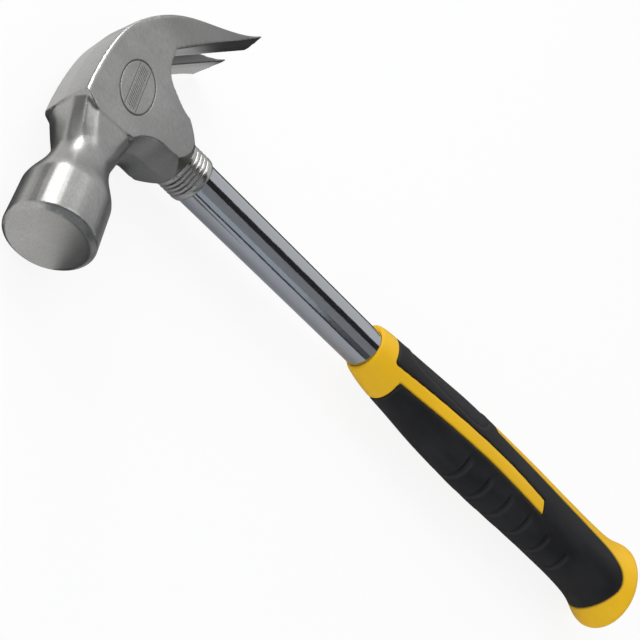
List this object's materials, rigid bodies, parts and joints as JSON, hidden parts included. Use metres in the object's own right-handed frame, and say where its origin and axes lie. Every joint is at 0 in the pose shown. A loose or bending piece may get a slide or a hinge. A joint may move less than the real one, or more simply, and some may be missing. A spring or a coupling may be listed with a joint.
{
  "type": "claw hammer",
  "caption": "Curved-claw carpenter's hammer: forged steel head on a chromed steel tube with a ringed collar and a two-colour moulded grip.",
  "frame": {"origin": "centre of the bottom of the overall box; the hammer lies on its side on the plane Z = 0", "axes": "+X along the shaft from the butt to the head, +Y towards the striking face, +Z across the head, upwards"},
  "size_m": [0.3232, 0.129, 0.0341],
  "materials": {
    "forged_steel": "satin ground and polished steel",
    "turned_steel": "turned, bright",
    "chromed_tube": "bright chrome plate",
    "bond": "cured adhesive",
    "plug": "moulded",
    "hard_yellow": "semi-gloss",
    "soft_black": "matt, fine texture"
  },
  "bodies": {
    "root": {"head": "forged_steel", "socket_bond": "bond", "neck_collar": "turned_steel", "shaft_tube": "chromed_tube", "tube_top_plug": "plug", "tube_end_plug": "plug", "grip_core": "hard_yellow", "soft_grip": "soft_black"}
  },
  "joints": []
}
